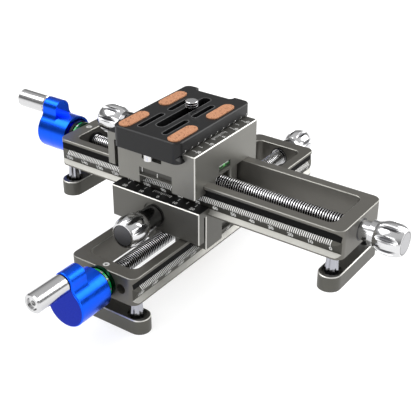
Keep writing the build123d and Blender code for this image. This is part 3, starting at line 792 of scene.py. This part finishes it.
def coin_slotted_head(start, end):
    """The camera screw's head about the X axis, with a coin slot across its start."""
    head = round_bar(start, end, camera_head_radius, chamfer=0.25)
    deselect_all()
    slot_size = mm((2 * coin_slot_depth, 2.5 * camera_head_radius, coin_slot_width))
    bpy.ops.mesh.primitive_cube_add(size=1, location=mm((start, 0, 0)), scale=slot_size)
    cutter = bpy.context.object
    coin_slot = head.modifiers.new("coin slot", "BOOLEAN")
    coin_slot.object = cutter
    coin_slot.operation = "DIFFERENCE"
    activate(head)
    bpy.ops.object.modifier_apply(modifier="coin slot")
    bpy.data.objects.remove(cutter)
    return head


def camera_screw():
    """The camera screw: slotted head, thin shank, and a capped thread above the plate."""
    low, high = node_box("camera_screw")
    head_top = low.z + camera_head_height
    thread_start = high.z - camera_thread_length
    root_radius = camera_core_radius - 0.1
    head = coin_slotted_head(low.z, head_top)
    shank = round_bar(head_top, thread_start, camera_shank_radius)
    core = round_bar(thread_start, high.z - 0.3, camera_core_radius)
    ridge = thread_ridge(thread_start, camera_turns, camera_pitch, root_radius, camera_crest_radius)
    cap = round_bar(high.z - camera_cap_length, high.z, camera_cap_radius, chamfer=0.2)
    screw = join([head, shank, core, ridge, cap])
    axis = Matrix.Translation(mm(((low.x + high.x) / 2, (low.y + high.y) / 2, 0)))
    settle(screw, axis @ Matrix.Rotation(radians(-90), 4, "Y"))
    keep(screw, "camera_screw_threaded", camera_screw_finish(), "camera_screw", "camera_screw")


def rail_numbers(unit):
    """The scale's numbers, 0 to 150, under its ticks on the number band, which leans out."""
    figures = []
    for number in range(0, 151, 10):
        place = (scale_length / 2 - number, number_across, number_up)
        matrix = figures_place(place, (1, 0, 0), band_slant)
        figures.append(raised_figures(str(number), matrix, size=2.9, weight=0.12))
    numbers = join(figures)
    settle(numbers, unit_turn(unit))
    keep(numbers, unit + "_scale_numbers", white_paint, unit + "_frame")


def ledge_numbers(unit, node, body, along, right, upright):
    """20 10 0 10 20 along a jaw's ledge, at a place along the unit."""
    figures = []
    height = unit_box(unit, node)[1].z
    for across in range(-20, 21, 10):
        matrix = figures_place((along, across, height), right, upright)
        figures.append(raised_figures(str(abs(across)), matrix, size=2.6, weight=0.03))
    numbers = join(figures)
    settle(numbers, unit_turn(unit))
    keep(numbers, f"{unit}_{body}_numbers", white_paint, f"{unit}_{body}")


def jaw_numbers(unit):
    """The numbers on the moving jaw's and on the fixed jaw's ledge."""
    middle = box_middle(unit, "carriage_body").x
    ledge_numbers(unit, "moving_jaw", "jaw", middle + moving_numbers, (0, -1, 0), (1, 0, 0))
    ledge_numbers(unit, "carriage_body", "carriage", middle + fixed_numbers, (0, 1, 0), (-1, 0, 0))


white_paint = blasted("white_paint", paint_white, metallic=0.0, roughness=0.5)
camera_screw()
for unit in units:
    lead_screw(unit)
    rail_numbers(unit)
    jaw_numbers(unit)


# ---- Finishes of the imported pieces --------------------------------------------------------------

def dress(name, finish):
    """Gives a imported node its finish."""
    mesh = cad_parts[name].data
    mesh.materials.clear()
    mesh.materials.append(finish.material)


unit_finish = {
    "end_bush": dark_steel,
    "set_screw": zinc,
    "race_fixed": steel_painted_green_reflection,
    "race_turning": dark_steel,
    "bearing_balls": chrome,
    "foot_bars": foot_finish(),
    "foot_posts": chrome,
    "foot_screws": steel,
    "lead_screw": steel,
    "screw_collar": dark_steel,
    "hub_set_screw": dark_steel,
    "handle_screw": steel,
    "crank_handle": silver,
    "drive_nut": brass,
    "nut_screws": dark_steel,
    "guide_pins": steel,
    "clamp_bolt": steel,
    "retaining_ring": dark_steel,
}
for unit in units:
    for plain_name, finish in unit_finish.items():
        dress(unit + "_" + plain_name, finish)
    dress(unit + "_rail_frame", rail_finish(unit))
    dress(unit + "_crank_hub", hub_finish(unit))
    dress(unit + "_bearing_cage", cage_finish(unit))
    dress(unit + "_carriage_body", carriage_finish(unit))
    dress(unit + "_moving_jaw", jaw_finish(unit))
    dress(unit + "_bubble_vial", vial_finish(unit))
    dress(unit + "_end_knob", knob_finish(unit, "end_knob", 1, disc_grey_and_shade=176, neck_grey_and_shade=190))
    # Painted shade: the clamp knob's disc and neck are far darker than the end knob's.
    dress(unit + "_clamp_knob", knob_finish(unit, "clamp_knob", -1, disc_grey_and_shade=106, neck_grey_and_shade=112))
dress("qr_plate", plate_finish())
dress("cork_pads", cork_finish())
dress("stop_screws", steel)
dress("camera_screw", steel)
dress("camera_washer", dark_steel)


# ---- Camera, floor and light --------------------------------------------------------------------

def add_camera():
    """The photograph's own viewpoint."""
    place = (234.90, -332.96, 240.78)
    azimuth, elevation, roll = radians(34.96), radians(29.78), radians(0.19)
    forward = Vector((-sin(azimuth) * cos(elevation), cos(azimuth) * cos(elevation), -sin(elevation)))
    level = Vector((cos(azimuth), sin(azimuth), 0))
    upright = level.cross(forward)
    right = cos(roll) * level + sin(roll) * upright
    up = cos(roll) * upright - sin(roll) * level
    data = bpy.data.cameras.new("camera")
    data.lens = 78.87
    data.sensor_width = 36.0
    data.clip_start = mm(10)
    camera = bpy.data.objects.new("camera", data)
    turn = Matrix((right, up, -forward)).transposed().to_4x4()
    camera.matrix_world = Matrix.Translation(mm(place)) @ turn
    bpy.context.collection.objects.link(camera)
    bpy.context.scene.camera = camera


def add_softbox(name, place, size, watts):
    """A square soft light that faces a point low in the object's middle."""
    aim = (0, 0, 20)
    data = bpy.data.lights.new(name, "AREA")
    data.size = mm(size)
    data.energy = watts
    light = bpy.data.objects.new(name, data)
    turn = (mm(place) - mm(aim)).to_track_quat("Z", "Y").to_matrix().to_4x4()
    light.matrix_world = Matrix.Translation(mm(place)) @ turn
    bpy.context.collection.objects.link(light)


def add_floor():
    """A white floor under the feet, which keeps a faint shadow."""
    width = 40000
    deselect_all()
    bpy.ops.mesh.primitive_plane_add(size=mm(width), location=(0, 0, cad_bounds[0][2]))
    floor = bpy.context.object
    floor.name = "floor"
    finish = Finish("floor_white")
    kinds = ("Is Camera Ray", "Is Glossy Ray", "Is Transmission Ray")
    seen = sum(finish.node("ShaderNodeLightPath", output=kind) for kind in kinds)
    glow = finish.ramp(seen, (0.0, 0.0), (0.5, 0.7))
    finish.surface(Base_Color=grey(0.4), Roughness=0.9, Emission_Color=glow, Emission_Strength=1.0)
    floor.data.materials.append(finish.material)


def add_world():
    """A studio room: a pale band at the floor's far edge, dim walls and a paler ceiling."""
    world = Finish("studio", bpy.data.worlds, "Background")
    direction = world.node("ShaderNodeTexCoord", output="Generated")
    height = world.node("ShaderNodeSeparateXYZ", None, {0: direction}, 2)
    light = world.ramp(height, (0.06, 1.0), (0.1, 0.2), (0.35, 0.25), (0.75, 0.7))
    world.surface(Color=light, Strength=1.0)
    bpy.context.scene.world = world.material


bpy.context.scene.view_settings.view_transform = "Standard"
add_camera()
add_floor()
add_world()
add_softbox("back_light", (420, 660, 480), size=700, watts=6)
add_softbox("left_light", (-450, -250, 740), size=600, watts=4.5)
add_softbox("front_light", (50, -850, 350), size=600, watts=3.6)
add_softbox("right_light", (850, 0, 300), size=500, watts=2.2)
